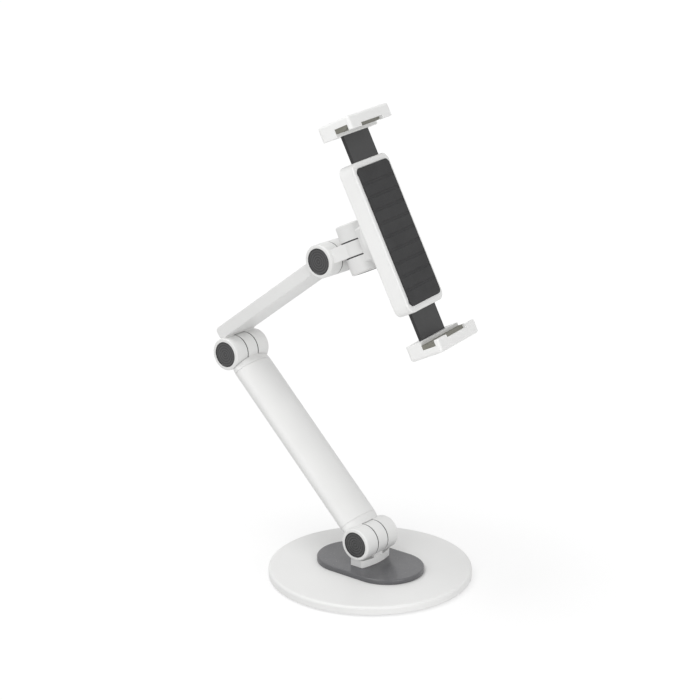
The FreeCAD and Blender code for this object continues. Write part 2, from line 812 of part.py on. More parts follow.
def brake_springs():
    """Two disc springs, back to back, that press the pinion's flange so that the jaws stay put."""
    height = (spring_floor - brake_flange_back - 2 * face_gap) / 2
    inner = post_radius + 2 * running
    first = cone_washer(brake_flange_radius, inner, brake_spring_thickness, height, 0, AXIS_Y)
    second = first.mirror(point(0, 0, 0), AXIS_Y)
    middle = brake_flange_back + face_gap + height
    first.translate(point(0, middle, 0))
    second.translate(point(0, middle, 0))
    return Part.makeCompound([first, second])


def rack_slide(y_front):
    """The upper jaw's slide: a slotted plate with a rack along the slot's +X side."""
    y_range = (y_front, y_front + slide_thickness)
    plate = block(both(slide_half_width), y_range, (slide_inner_end, jaw_foot + jaw_seat_depth))
    root = pitch_radius + dedendum * gear_module
    tip = pitch_radius - rack_addendum * gear_module
    slot = block((-slot_half_width, root), y_range, slot_ends)
    pitch = math.pi * gear_module
    first = math.ceil(rack_reach[0] / pitch - 0.5)
    last = math.floor(rack_reach[1] / pitch - 0.5)
    teeth = []
    for k in range(first, last + 1):
        middle = (k + 0.5) * pitch
        tip_half = tooth_half_width(-rack_addendum * gear_module)
        root_half = tooth_half_width(dedendum * gear_module)
        corners = [(tip, middle - tip_half), (tip, middle + tip_half),
                   (root, middle + root_half), (root, middle - root_half)]
        wire = Part.makePolygon([point(x, y_front, z) for x, z in corners + corners[:1]])
        teeth.append(Part.Face(wire).extrude(point(0, slide_thickness, 0)))
    plate = plate.cut(slot).fuse(teeth).removeSplitter()
    return plate.cut([jaw_screw_shank(x) for x in jaw_screw_places()])


def jaw_screw_places():
    return both(jaw_screw_spacing / 2)


def jaw_screw_z():
    return jaw_foot + jaw_seat_depth / 2


def jaw_screw_shank(x):
    start = cover_back - slide_gap
    return rod(jaw_screw_radius, start, jaw_back, AXIS_Y, (x, jaw_screw_z()))


def jaw_screw(x):
    """A jaw screw with its round head sunk into the jaw's back."""
    head_back = jaw_back - seat_gap
    start = cover_back - slide_gap
    place = (x, jaw_screw_z())
    head = rod(jaw_screw_head_radius, head_back - jaw_screw_head_height, head_back, AXIS_Y, place)
    return rod(jaw_screw_radius, start, head_back, AXIS_Y, place).fuse(head)


def jaw_screws():
    return Part.makeCompound([jaw_screw(x) for x in jaw_screw_places()])


def jaw(slide_front):
    """The upper jaw: a back block on the slide, a roof over the bay's edge and two hooks."""
    outline = [(jaw_front, hook_tip), (jaw_front + jaw_wall, hook_tip),
               (jaw_front + jaw_wall, jaw_channel_roof), (jaw_channel_back, jaw_channel_roof),
               (jaw_channel_back, jaw_foot), (jaw_back, jaw_foot), (jaw_back, jaw_top), (jaw_front, jaw_top)]
    wire = Part.makePolygon([point(-jaw_half_width, y, z) for y, z in outline + outline[:1]])
    body = Part.Face(wire).extrude(point(2 * jaw_half_width, 0, 0))
    corner_edges = edges_where(body, lambda edge: in_plane(edge, 2, jaw_top)
                               or along(edge, AXIS_Z) and (in_plane(edge, 1, jaw_front)
                                                           or in_plane(edge, 1, jaw_back)))
    body = body.makeFillet(jaw_round, corner_edges)
    between = block(both(jaw_half_width - hook_width), (jaw_front, jaw_front + jaw_wall),
                    (hook_tip, slot_lip))
    seat = block(both(slide_half_width + seat_gap), (slide_front - seat_gap,
                 slide_front + slide_thickness + seat_gap), (jaw_foot, jaw_foot + jaw_seat_depth + seat_gap))
    cuts = [between, seat]
    for x in jaw_screw_places():
        cuts.append(jaw_screw_shank(x))
        cuts.append(rod(jaw_screw_head_radius + seat_gap, jaw_back - seat_gap - jaw_screw_head_height,
                        jaw_back, AXIS_Y, (x, jaw_screw_z())))
    body = body.cut(cuts)
    lips = edges_where(body, lambda edge: in_plane(edge, 1, jaw_front) and along(edge, AXIS_X)
                       and edge.BoundBox.ZMax < slot_lip + 1)
    return body.makeFillet(jaw_edge_round, lips)


def jaw_pad():
    """The rubber wedge under the jaw's roof, thinner towards the hooks."""
    half = jaw_half_width - jaw_pad_end_gap
    front = jaw_front + jaw_wall + seat_gap
    back = jaw_channel_back - seat_gap
    face = bay_half_height + seat_gap
    roof = jaw_channel_roof
    outline = [(back, face), (back, roof), (front, roof), (front, roof - jaw_pad_lip),
               (back - jaw_pad_flat, face)]
    wire = Part.makePolygon([point(-half, y, z) for y, z in outline + outline[:1]])
    return Part.Face(wire).extrude(point(2 * half, 0, 0))


def downward(shape):
    """The same piece for the lower jaw, turned half round the holder's middle."""
    turned = shape.copy()
    turned.rotate(point(0, 0, 0), AXIS_Y, 180)
    return turned


# Frames of the moving bodies, each carried by the one before

def step(offset, axis, angle):
    return FreeCAD.Placement(offset, FreeCAD.Rotation(axis, angle))


base_frame = FreeCAD.Placement()
hinge_frame = step(point(0, 0, hinge_height), AXIS_X, 0)
lower_frame = step(point(0, 0, hinge_height), AXIS_X, lower_elevation - 90)
elbow_place = lower_frame.multVec(point(0, 0, lower_length))
upper_frame = step(elbow_place, AXIS_X, 90 - upper_elevation)
tilt_place = upper_frame.multVec(point(0, upper_offset, upper_reach))
head_frame = step(tilt_place, AXIS_X, -tilt_angle)
tilt_bush_frame = step(tilt_place, AXIS_X, 0)
swing_frame = head_frame.multiply(step(point(0, -neck_length, 0), AXIS_Z, swing_angle))
holder_frame = swing_frame.multiply(step(point(0, -hub_length, 0), AXIS_Y, turn_angle))


def write(frame, pieces):
    for name, shape in pieces.items():
        placed = shape.copy()
        placed.Placement = frame.multiply(placed.Placement)
        placed.exportStep("parts/" + name + ".step")


def main():
    os.makedirs("parts", exist_ok=True)
    write(base_frame, {
        "base_disc": base_disc(),
        "base_rubber_pad": base_pad(),
        "glide_ring": glide_ring(),
        "pivot_bush": pivot_bush(),
        "pivot_washer": pivot_washer(),
        "pivot_disc_spring": pivot_spring(),
        "pivot_bolt": pivot_bolt(),
        "turntable_plate": turntable_plate(),
        "foot_bracket": foot_bracket(),
        "foot_screws": foot_screws(),
    })
    write(hinge_frame, {"base_hinge_bush": hinge_bush()})
    write(lower_frame, {
        "lower_fork": lower_fork(),
        "lower_arm_tube": lower_arm_tube(),
        "elbow_lug": elbow_lug(),
    })
    write(lower_frame, hinge_hardware("base_hinge"))
    write(step(elbow_place, AXIS_X, 0), {"elbow_bush": hinge_bush()})
    write(upper_frame, {"upper_arm": upper_arm()})
    write(upper_frame, hinge_hardware("elbow"))
    write(tilt_bush_frame, {"tilt_bush": hinge_bush()})
    write(head_frame, {
        "head_yoke": head_yoke(),
        "swing_bush": upright(hinge_bush(), -neck_length),
    })
    write(head_frame, hinge_hardware("tilt"))
    write(swing_frame, {"rotation_hub": rotation_hub()})
    write(swing_frame, {name: upright(shape, 0) for name, shape in hinge_hardware("swing").items()})
    write(holder_frame, {
        "turn_friction_washer": turn_washer(),
        "retaining_ring": retaining_ring(),
        "ring_screws": ring_screws(),
        "housing_back": housing_back_shell(),
        "housing_cover": housing_cover(),
        "cover_screws": cover_screws(),
        "front_pad": front_pad(),
        "pinion": pinion(),
        "pinion_post": pinion_post(),
        "pinion_disc_springs": brake_springs(),
        "upper_slide": rack_slide(slide_a_front),
        "upper_jaw": jaw(slide_a_front),
        "upper_jaw_pad": jaw_pad(),
        "upper_jaw_screws": jaw_screws(),
        "lower_slide": downward(rack_slide(slide_b_front)),
        "lower_jaw": downward(jaw(slide_b_front)),
        "lower_jaw_pad": downward(jaw_pad()),
        "lower_jaw_screws": downward(jaw_screws()),
    })


main()
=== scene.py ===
import bpy
import bmesh
import json
from math import radians, pi, hypot, atan2, cos, sin
from mathutils import Matrix, Vector


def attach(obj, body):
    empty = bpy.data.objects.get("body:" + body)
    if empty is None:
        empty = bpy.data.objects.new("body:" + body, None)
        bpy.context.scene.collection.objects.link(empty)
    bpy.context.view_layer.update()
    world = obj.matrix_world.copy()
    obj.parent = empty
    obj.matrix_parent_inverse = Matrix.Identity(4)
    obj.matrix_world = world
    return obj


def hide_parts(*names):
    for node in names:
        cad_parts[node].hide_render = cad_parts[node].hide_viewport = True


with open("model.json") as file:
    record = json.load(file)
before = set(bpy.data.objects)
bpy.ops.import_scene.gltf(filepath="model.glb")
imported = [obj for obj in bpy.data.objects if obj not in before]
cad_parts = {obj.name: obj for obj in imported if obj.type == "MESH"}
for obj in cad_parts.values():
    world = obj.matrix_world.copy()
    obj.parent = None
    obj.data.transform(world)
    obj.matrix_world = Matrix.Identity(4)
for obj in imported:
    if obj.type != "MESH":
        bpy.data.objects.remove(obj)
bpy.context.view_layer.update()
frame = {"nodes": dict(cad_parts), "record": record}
print("frame loaded:", len(frame["nodes"]), "nodes")


# where each moving body stands, from the same sizes as the model's

def turned(axis, angle):
    return Matrix.Rotation(radians(angle), 4, axis)


def moved(x, y, z):
    return Matrix.Translation((x, y, z))


arm = {
    "hingeHeight": 32.0,
    "lowerLength": 194.2,
    "lowerElevation": 44.0,
    "upperReach": 140.15,
    "upperOffset": 18.0,
    "upperElevation": 36.3,
    "tilt": 25.7,
    "swing": 7.7,
    "turn": -4.2,
    "neckLength": 29.0,
    "hubLength": 47.6,
}

toMetres = Matrix.Scale(0.001, 4)        # the pieces are modelled in millimetres
onTable = Matrix.Identity(4)
lowerPlace = moved(0, 0, arm["hingeHeight"]) @ turned("X", arm["lowerElevation"] - 90)
elbowPoint = lowerPlace @ Vector((0, 0, arm["lowerLength"]))
upperPlace = Matrix.Translation(elbowPoint) @ turned("X", 90 - arm["upperElevation"])
tiltPoint = upperPlace @ Vector((0, arm["upperOffset"], arm["upperReach"]))
headPlace = Matrix.Translation(tiltPoint) @ turned("X", -arm["tilt"])
swingPlace = headPlace @ moved(0, -arm["neckLength"], 0) @ turned("Z", arm["swing"])
holderPlace = swingPlace @ moved(0, -arm["hubLength"], 0) @ turned("Y", arm["turn"])
lowerJawPlace = holderPlace @ turned("Y", 180)
acrossToUp = turned("Y", -90)            # a hinge piece along X, stood up along Z


# materials

def linearColour(hexCode):
    parts = [int(hexCode[i:i + 2], 16) / 255 for i in (1, 3, 5)]
    return [c / 12.92 if c <= 0.04045 else ((c + 0.055) / 1.055) ** 2.4 for c in parts] + [1.0]


def addNode(tree, kind, settings=(), inputs=(), links=()):
    node = tree.nodes.new(kind)
    for name, value in dict(settings).items():
        setattr(node, name, value)
    for name, value in dict(inputs).items():
        node.inputs[name].default_value = value
    for name, source in dict(links).items():
        tree.links.new(source, node.inputs[name])
    return node


def perMetre(millimetres):
    return 1000 / millimetres            # the scale of a noise whose features are this large


def grainedFinish(name, look):
    material = bpy.data.materials.new(name)
    material.use_nodes = True
    tree = material.node_tree
    tree.nodes.clear()
    place = addNode(tree, "ShaderNodeTexCoord").outputs["Object"]
    grain = addNode(tree, "ShaderNodeTexNoise", {}, {
        "Scale": perMetre(look["grain"]), "Detail": 3.0, "Roughness": 0.6}, {"Vector": place})
    cloud = addNode(tree, "ShaderNodeTexNoise", {}, {
        "Scale": perMetre(look["cloud"]), "Detail": 2.0, "Roughness": 0.5}, {"Vector": place})
    shade = addNode(tree, "ShaderNodeMapRange", {}, {
        "From Min": 0.3, "From Max": 0.7}, {"Value": cloud.outputs["Fac"]})
    colour = addNode(tree, "ShaderNodeMix", {"data_type": "RGBA"}, {
        6: linearColour(look["dark"]), 7: linearColour(look["light"])}, {0: shade.outputs["Result"]})
    gloss = addNode(tree, "ShaderNodeMapRange", {}, {
        "From Min": 0.25, "From Max": 0.75,
        "To Min": look["roughness"] - look["roughnessSpread"],
        "To Max": look["roughness"] + look["roughnessSpread"]}, {"Value": grain.outputs["Fac"]})
    relief = addNode(tree, "ShaderNodeBump", {}, {
        "Strength": look["relief"], "Distance": look["reliefDepth"] / 1000}, {
        "Height": grain.outputs["Fac"]})
    shader = addNode(tree, "ShaderNodeBsdfPrincipled", {}, {
        "Metallic": look.get("metallic", 0.0), "IOR": look.get("ior", 1.5)}, {
        "Base Color": colour.outputs[2], "Roughness": gloss.outputs["Result"],
        "Normal": relief.outputs["Normal"]})
    addNode(tree, "ShaderNodeOutputMaterial", {}, {}, {"Surface": shader.outputs["BSDF"]})
    material.diffuse_color = linearColour(look["light"])
    return material


finishes = {
    # powder coat on steel: a fine even orange peel, satin, barely off white
    "white_coated_steel": grainedFinish("whitePowderCoatOnSteel", {
        "light": "#ececeb", "dark": "#e9e9e8", "cloud": 60.0, "grain": 0.9,
        "roughness": 0.46, "roughnessSpread": 0.05, "relief": 0.25, "reliefDepth": 0.03, "ior": 1.5}),
    # the same coat on cast and drawn aluminium, a shade smoother
    "white_coated_aluminium": grainedFinish("whitePowderCoatOnAluminium", {
        "light": "#e5e5e4", "dark": "#e2e2e1", "cloud": 45.0, "grain": 0.9,
        "roughness": 0.42, "roughnessSpread": 0.05, "relief": 0.2, "reliefDepth": 0.03, "ior": 1.5}),
    # grey powder coat with a silky gloss: what stands on it and above it darkens its sheen
    "grey_coated_aluminium": grainedFinish("greyPowderCoat", {
        "light": "#5f5f61", "dark": "#565659", "cloud": 18.0, "grain": 0.8,
        "roughness": 0.24, "roughnessSpread": 0.05, "relief": 0.2, "reliefDepth": 0.04, "ior": 1.5}),
    # moulded ABS with a light spark texture: the whitest finish, its sheen slightly broken
    "white_abs": grainedFinish("whiteMouldedAbs", {
        "light": "#f0f0ef", "dark": "#ededec", "cloud": 50.0, "grain": 0.7,
        "roughness": 0.4, "roughnessSpread": 0.04, "relief": 0.15, "reliefDepth": 0.03, "ior": 1.54}),
    # moulded acetal: near black and slick, with a soft sheen along its edges
    "black_acetal": grainedFinish("blackAcetal", {
        "light": "#232324", "dark": "#1b1b1c", "cloud": 12.0, "grain": 0.6,
        "roughness": 0.38, "roughnessSpread": 0.06, "relief": 0.2, "reliefDepth": 0.03, "ior": 1.48}),
    # moulded black nylon: dull, so that each hinge's seam reads as a dark line
    "black_nylon": grainedFinish("blackNylon", {
        "light": "#2a2a2b", "dark": "#202021", "cloud": 8.0, "grain": 0.6,
        "roughness": 0.5, "roughnessSpread": 0.06, "relief": 0.3, "reliefDepth": 0.03, "ior": 1.53}),
    # unfilled nylon: creamy and a little waxy
    "natural_nylon": grainedFinish("naturalNylon", {
        "light": "#e4dfcf", "dark": "#dad4c2", "cloud": 10.0, "grain": 0.8,
        "roughness": 0.45, "roughnessSpread": 0.05, "relief": 0.2, "reliefDepth": 0.03, "ior": 1.53}),
    # zinc plating: a bluish bright metal, softly brushed by the plating
    "zinc_plated_steel": grainedFinish("zincPlatedSteel", {
        "light": "#c9cdd2", "dark": "#b4b8be", "cloud": 3.0, "grain": 0.35,
        "roughness": 0.32, "roughnessSpread": 0.08, "relief": 0.2, "reliefDepth": 0.02, "metallic": 1.0}),
    # moulded rubber: matt, with a grain that greys it
    "black_rubber": grainedFinish("blackRubber", {
        "light": "#2b2b2c", "dark": "#222223", "cloud": 14.0, "grain": 0.9,
        "roughness": 0.72, "roughnessSpread": 0.08, "relief": 0.6, "reliefDepth": 0.08, "ior": 1.52}),
    # moulded silicone rubber: a matt olive grey
    "olive_grey_rubber": grainedFinish("oliveGreyRubber", {
        "light": "#83827a", "dark": "#78776e", "cloud": 16.0, "grain": 0.9,
        "roughness": 0.66, "roughnessSpread": 0.07, "relief": 0.5, "reliefDepth": 0.07, "ior": 1.45}),
}


def turnedCapFinish(look):
    # dark grey plastic whose face has fine turned rings, so a highlight runs across it as a streak; the
    # rings are also painted lighter and darker in its colour, a painted sheen
    material = bpy.data.materials.new("darkGreyTurnedPlastic")
    material.use_nodes = True
    tree = material.node_tree
    tree.nodes.clear()
    polar = addNode(tree, "ShaderNodeUVMap", {"uv_map": "turned"})   # U round the cap, V mm from its middle
    parts = addNode(tree, "ShaderNodeSeparateXYZ", {}, {}, {"Vector": polar.outputs["UV"]})
    phase = addNode(tree, "ShaderNodeMath", {"operation": "MULTIPLY"}, {
        1: 2 * pi / look["ringPitch"]}, {0: parts.outputs["Y"]})
    rings = addNode(tree, "ShaderNodeMath", {"operation": "SINE"}, {}, {0: phase.outputs["Value"]})
    place = addNode(tree, "ShaderNodeTexCoord").outputs["Object"]
    grain = addNode(tree, "ShaderNodeTexNoise", {}, {
        "Scale": perMetre(look["grain"]), "Detail": 2.0}, {"Vector": place})
    height = addNode(tree, "ShaderNodeMath", {"operation": "MULTIPLY_ADD"}, {
        1: look["ringShare"]}, {0: rings.outputs["Value"], 2: grain.outputs["Fac"]})
    relief = addNode(tree, "ShaderNodeBump", {}, {
        "Strength": look["relief"], "Distance": look["reliefDepth"] / 1000}, {
        "Height": height.outputs["Value"]})
    # painted sheen: the colour follows the rings, lighter on each crest and darker in each trough, standing
    # in for light caught by the turned rings
    lit = addNode(tree, "ShaderNodeMapRange", {}, {
        "From Min": -1.0, "From Max": 1.0}, {"Value": rings.outputs["Value"]})
    colour = addNode(tree, "ShaderNodeMix", {"data_type": "RGBA"}, {
        6: linearColour(look["dark"]), 7: linearColour(look["light"])}, {0: lit.outputs["Result"]})
    tangent = addNode(tree, "ShaderNodeTangent", {"direction_type": "UV_MAP", "uv_map": "turned"})
    shader = addNode(tree, "ShaderNodeBsdfPrincipled", {}, {
        "Roughness": look["roughness"], "IOR": look["ior"], "Anisotropic": look["anisotropy"]}, {
        "Base Color": colour.outputs[2], "Normal": relief.outputs["Normal"],
        "Tangent": tangent.outputs["Tangent"]})
    addNode(tree, "ShaderNodeOutputMaterial", {}, {}, {"Surface": shader.outputs["BSDF"]})
    material.diffuse_color = linearColour(look["light"])
    return material


# real turning marks are about 0.2 mm apart; here they are as coarse as it takes to show, and painted lighter
# on their crests and darker in their troughs as well as raised: a painted sheen
finishes["dark_grey_plastic"] = turnedCapFinish({
    "light": "#404041", "dark": "#202021", "ringPitch": 2.1, "ringShare": 1.0, "grain": 0.9,
    "relief": 0.6, "reliefDepth": 0.14, "roughness": 0.26, "ior": 1.54, "anisotropy": 0.9})

for entry in frame["record"]["subparts"]:
    mesh = frame["nodes"][entry["node"]].data
    mesh.materials.clear()
    mesh.materials.append(finishes[entry["material_slot"]])
print("materials ready:", len(finishes))


# making pieces

meshing = {
    "weld": 0.0004,          # millimetres; points nearer than this are one point
    "cadWeld": 0.002,        # the same, for the CAD shapes' loose triangles
    "cadFlat": 0.5,          # degrees; CAD triangles that fold less than this become one face
    "near": 0.01,            # millimetres; how near a point lies to the place that it is looked up by
    "sharpFold": 38.0,       # degrees; folds over this stay sharp
    "flatFold": 0.5,         # beside a wide face a fold over this does too, so that the face shades flat
    "flatReach": 4.0,        # millimetres; how far such a face reaches from the edge
}


def foldsSharply(edge):
    fold = edge.calc_face_angle(0.0)
    reach = max(face.calc_area() for face in edge.link_faces) / max(edge.calc_length(), meshing["weld"])
    return fold > radians(meshing["sharpFold"]) or (
        fold > radians(meshing["flatFold"]) and reach > meshing["flatReach"])


def finishPiece(work, name, place, body, slotName, nodes):
    bmesh.ops.remove_doubles(work, verts=work.verts, dist=meshing["weld"])
    bmesh.ops.recalc_face_normals(work, faces=work.faces)
    for face in work.faces:
        face.smooth = True
    for edge in work.edges:
        edge.smooth = not foldsSharply(edge)
    work.transform(toMetres @ place)
    mesh = bpy.data.meshes.new(name)
    work.to_mesh(mesh)
    work.free()
    mesh.materials.append(finishes[slotName])
    piece = bpy.data.objects.new(name, mesh)
    bpy.context.scene.collection.objects.link(piece)
    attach(piece, body)
    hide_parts(*nodes)
    return piece


def near(value, place):
    return abs(value - place) < meshing["near"]


def edgesWhere(work, test):
    return [edge for edge in work.edges if test(edge)]


def ringEdges(work, radius, height):
    # the edges of a spun shape at one radius and height
    def fits(vert):
        return near(hypot(vert.co.x, vert.co.y), radius) and near(vert.co.z, height)
    return edgesWhere(work, lambda edge: all(fits(vert) for vert in edge.verts))


def roundOver(work, edges, width, segments=3):
    bmesh.ops.bevel(work, geom=edges, offset=width, offset_type="OFFSET", segments=segments,
                    profile=0.5, affect="EDGES", material=-1, clamp_overlap=False)


def spun(profile, steps, closed):
    # points of radius and height, spun a full turn about Z; an open profile starts and ends on the axis
    work = bmesh.new()
    verts = [work.verts.new((radius, 0, height)) for radius, height in profile]
    following = verts[1:] + verts[:1] if closed else verts[1:]
    edges = [work.edges.new((a, b)) for a, b in zip(verts, following)]
    bmesh.ops.spin(work, geom=verts + edges, cent=(0, 0, 0), axis=(0, 0, 1), angle=2 * pi,
                   steps=steps, use_merge=True)
    bmesh.ops.remove_doubles(work, verts=work.verts, dist=meshing["weld"])
    return work


def raisedFace(work, lift):
    # every face of the shape, drawn up into a solid
    risen = bmesh.ops.extrude_face_region(work, geom=list(work.faces))["geom"]
    verts = [item for item in risen if isinstance(item, bmesh.types.BMVert)]
    bmesh.ops.translate(work, verts=verts, vec=lift)


def mergedCopy(node):
    # the CAD node's own surface, merged from loose triangles, back in millimetres
    work = bmesh.new()
    work.from_mesh(frame["nodes"][node].data)
    work.transform(toMetres.inverted())
    bmesh.ops.remove_doubles(work, verts=work.verts, dist=meshing["cadWeld"])
    bmesh.ops.dissolve_limit(work, angle_limit=radians(meshing["cadFlat"]),
                             verts=work.verts, edges=work.edges)
    return work


# base

base = {
    "radius": 84.0,
    "underside": 1.2,
    "top": 8.2,
    "topRound": 2.2,
    "bottomRound": 0.6,
    "padRadius": 79.0,
    "padTop": 2.2,
    "padEdgeRound": 0.4,
    "padGrooves": 5,
    "padGrooveDepth": 0.35,
    "padGrooveWidth": 1.6,
    "padPlay": 0.05,         # round the pad, in the disc's recess
    "recessRadius": 14.0,
    "recessTop": 5.7,
    "bushHole": 6.05,
    "glideInner": 12.95,
    "glideOuter": 24.05,
    "glideFloor": 7.6,
    "steps": 192,
}


def makeBaseDisc(b):
    padSeat = b["padRadius"] + b["padPlay"]
    work = spun([
        (b["bushHole"], b["recessTop"]), (b["bushHole"], b["top"]), (b["glideInner"], b["top"]),
        (b["glideInner"], b["glideFloor"]), (b["glideOuter"], b["glideFloor"]), (b["glideOuter"], b["top"]),
        (b["radius"], b["top"]), (b["radius"], b["underside"]), (padSeat, b["underside"]),
        (padSeat, b["padTop"]), (b["recessRadius"], b["padTop"]),
        (b["recessRadius"], b["recessTop"])], b["steps"], closed=True)
    roundOver(work, ringEdges(work, b["radius"], b["top"]), b["topRound"], 5)
    roundOver(work, ringEdges(work, b["radius"], b["underside"]), b["bottomRound"], 3)
    finishPiece(work, "baseDisc", onTable, "base", "white_coated_steel", ["base_disc"])


def makeBasePad(b):
    # a full rubber pad whose underside has shallow rings for grip
    profile = [(0, b["padTop"]), (b["padRadius"], b["padTop"]), (b["padRadius"], 0)]
    pitch = b["padRadius"] / (b["padGrooves"] + 1)
    for k in range(b["padGrooves"], 0, -1):
        middle = k * pitch
        half = b["padGrooveWidth"] / 2
        profile += [(middle + half, 0), (middle + half / 2, b["padGrooveDepth"]),
                    (middle - half / 2, b["padGrooveDepth"]), (middle - half, 0)]
    profile.append((0, 0))
    work = spun(profile, b["steps"], closed=False)
    roundOver(work, ringEdges(work, b["padRadius"], 0), b["padEdgeRound"], 2)
    finishPiece(work, "basePad", onTable, "base", "black_rubber", ["base_rubber_pad"])


makeBaseDisc(base)
makeBasePad(base)
print("base made")


# turntable

plate = {
    "halfLength": 48.0,
    "halfWidth": 30.85,
    "bottom": 8.3,
    "top": 12.4,
    "topRound": 1.1,
    "bottomRound": 0.3,
    "steps": 128,
}


def makeTurntablePlate(p):
    work = bmesh.new()
    bmesh.ops.create_circle(work, cap_ends=True, radius=p["halfWidth"], segments=p["steps"])
    bmesh.ops.rotate(work, verts=work.verts, matrix=Matrix.Rotation(pi / p["steps"], 3, "Z"))
    for side in (-1, 1):
        half = [vert for vert in work.verts if vert.co.y * side > 0]
        bmesh.ops.translate(work, verts=half, vec=(0, side * (p["halfLength"] - p["halfWidth"]), 0))
    bmesh.ops.translate(work, verts=work.verts, vec=(0, 0, p["bottom"]))
    raisedFace(work, (0, 0, p["top"] - p["bottom"]))
    for height, width, segments in ((p["top"], p["topRound"], 5), (p["bottom"], p["bottomRound"], 2)):
        rim = edgesWhere(work, lambda edge: all(near(vert.co.z, height) for vert in edge.verts))
        roundOver(work, rim, width, segments)
    finishPiece(work, "turntablePlate", onTable, "turntable", "grey_coated_aluminium", ["turntable_plate"])


makeTurntablePlate(plate)


# castings: the CAD shapes with their sharp edges broken, as a coat leaves them

castings = {
    "edgeRound": 0.2,
    "edgeFold": 40.0,        # degrees; folds over this are rounded
    "pieces": {
        "footBracket": ("foot_bracket", "turntable", "white_coated_aluminium"),
        "lowerFork": ("lower_fork", "lower_arm_body", "white_coated_aluminium"),
        "elbowLug": ("elbow_lug", "lower_arm_body", "white_coated_aluminium"),
        "upperArm": ("upper_arm", "upper_arm_body", "white_coated_aluminium"),
        "headYoke": ("head_yoke", "head", "white_coated_aluminium"),
        "rotationHub": ("rotation_hub", "hub", "white_coated_aluminium"),
        "retainingRing": ("retaining_ring", "holder", "white_coated_aluminium"),
        "housingBack": ("housing_back", "holder", "white_abs"),
        "housingCover": ("housing_cover", "holder", "white_abs"),
        "upperJaw": ("upper_jaw", "upper_jaw_body", "white_abs"),
        "lowerJaw": ("lower_jaw", "lower_jaw_body", "white_abs"),
        "upperSlide": ("upper_slide", "upper_jaw_body", "black_acetal"),
        "lowerSlide": ("lower_slide", "lower_jaw_body", "black_acetal"),
    },
}


def makeCasting(c, name):
    node, body, slotName = c["pieces"][name]
    work = mergedCopy(node)
    limit = radians(c["edgeFold"])
    edges = edgesWhere(work, lambda edge: edge.is_convex and edge.calc_face_angle(0.0) > limit)
    roundOver(work, edges, c["edgeRound"], 2)
    finishPiece(work, name, onTable, body, slotName, [node])


for castingName in castings["pieces"]:
    makeCasting(castings, castingName)
print("castings and moulded pieces made")


# lower arm tube

tube = {
    "halfWidth": 20.1,
    "halfThickness": 10.9,
    "wall": 2.0,
    "start": 18.0,
    "endRound": 0.6,
    "steps": 128,
}


def makeArmTube(t):
    work = bmesh.new()
    bmesh.ops.create_circle(work, cap_ends=False, radius=1, segments=t["steps"])
    outer = list(work.verts)
    bmesh.ops.scale(work, verts=outer, vec=(t["halfWidth"], t["halfThickness"], 1))
    inner = bmesh.ops.create_circle(work, cap_ends=False, radius=1, segments=t["steps"])["verts"]
    bmesh.ops.scale(work, verts=inner, vec=(t["halfWidth"] - t["wall"], t["halfThickness"] - t["wall"], 1))
    bmesh.ops.bridge_loops(work, edges=work.edges)
    bmesh.ops.translate(work, verts=work.verts, vec=(0, 0, t["start"]))
    raisedFace(work, (0, 0, arm["lowerLength"] - 2 * t["start"]))

    def onOuterEnd(vert):
        return hypot(vert.co.x / t["halfWidth"], vert.co.y / t["halfThickness"]) > 0.999    # 1 on the oval
    ends = edgesWhere(work, lambda edge: all(onOuterEnd(vert) for vert in edge.verts)
                      and near(edge.verts[0].co.z, edge.verts[1].co.z))
    roundOver(work, ends, t["endRound"], 2)
    finishPiece(work, "armTube", lowerPlace, "lower_arm_body", "white_coated_aluminium", ["lower_arm_tube"])


makeArmTube(tube)
print("tube made")


# hinge end caps

cap = {
    "radius": 10.75,
    "outerFace": 20.25,
    "thickness": 1.5,
    "skirtRadius": 8.55,
    "skirtWall": 0.6,
    "skirtLength": 1.6,
    "rimWidth": 0.55,
    "rimRound": 0.3,
    "dish": 0.3,
    "faceRings": (0.62, 0.34),    # shares of the radius where the flat face is divided
    "dimpleRadius": 1.1,
    "dimpleDepth": 0.1,
    "steps": 96,
}


def capProfile(c):
    back = c["outerFace"] - c["thickness"]
    skirtInner = c["skirtRadius"] - c["skirtWall"]
    face = c["outerFace"] - c["dish"]
    return [
        (0, back), (skirtInner, back), (skirtInner, back - c["skirtLength"]),
        (c["skirtRadius"], back - c["skirtLength"]), (c["skirtRadius"], back), (c["radius"], back),
        (c["radius"], c["outerFace"] - c["rimRound"]), (c["radius"] - c["rimRound"], c["outerFace"]),
        (c["radius"] - c["rimWidth"], c["outerFace"]), (c["radius"] - c["rimWidth"] - c["dish"], face),
        *((c["radius"] * share, face) for share in c["faceRings"]),
        (c["dimpleRadius"] + c["dimpleDepth"], face), (c["dimpleRadius"], face - c["dimpleDepth"]),
        (0, face - c["dimpleDepth"])]


def unrollTurned(work):
    # a UV map whose U goes once round and whose V is the distance from the axis in millimetres
    layer = work.loops.layers.uv.new("turned")
    for face in work.faces:
        middle = face.calc_center_median()
        toward = atan2(middle.y, middle.x)
        for loop in face.loops:
            spot = loop.vert.co
            angle = toward if near(hypot(spot.x, spot.y), 0) else atan2(spot.y, spot.x)
            if angle - toward > pi:
                angle -= 2 * pi
            if toward - angle > pi:
                angle += 2 * pi
            loop[layer].uv = (angle / (2 * pi), hypot(spot.x, spot.y))


def makeEndCaps(c, hinge, place, body):
    work = spun(capProfile(c), c["steps"], closed=False)
    bmesh.ops.recalc_face_normals(work, faces=work.faces)
    unrollTurned(work)
    oneCap = bpy.data.meshes.new("oneCap")
    work.to_mesh(oneCap)
    work.free()
    pair = bmesh.new()
    for turn in (90, 180):
        oneCap.transform(turned("Y", turn))      # first the right end, then on to the left
        pair.from_mesh(oneCap)
    finishPiece(pair, hinge + "EndCaps", place, body, "dark_grey_plastic", [hinge + "_end_caps"])


